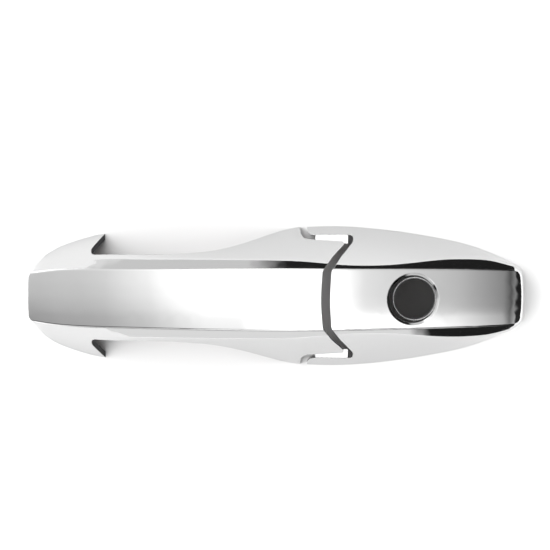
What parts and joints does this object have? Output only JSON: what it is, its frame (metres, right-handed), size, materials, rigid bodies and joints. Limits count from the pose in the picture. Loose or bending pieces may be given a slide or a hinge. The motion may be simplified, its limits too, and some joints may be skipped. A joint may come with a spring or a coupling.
{
  "type": "car door handle cover",
  "caption": "Chrome-plated cover set for a pull-type car door handle: a long arched grip cover and an end cap with a key opening, hollow underneath.",
  "frame": {"origin": "centre of the overall length and width, on the plane of the rims that meet the door", "axes": "+X along the handle towards the end cap, +Y across it, +Z away from the door"},
  "size_m": [0.215, 0.06, 0.0272],
  "materials": {
    "plating": "bright plated, smooth",
    "foam_tape": "matt foam",
    "release_liner": "thin waxy film"
  },
  "bodies": {
    "root": {"grip_cover": "plating", "end_cap_cover": "plating", "grip_front_tape": "foam_tape", "grip_front_liner": "release_liner", "grip_rear_tape": "foam_tape", "grip_rear_liner": "release_liner", "cap_front_tape": "foam_tape", "cap_front_liner": "release_liner", "cap_rear_tape": "foam_tape", "cap_rear_liner": "release_liner"}
  },
  "joints": []
}
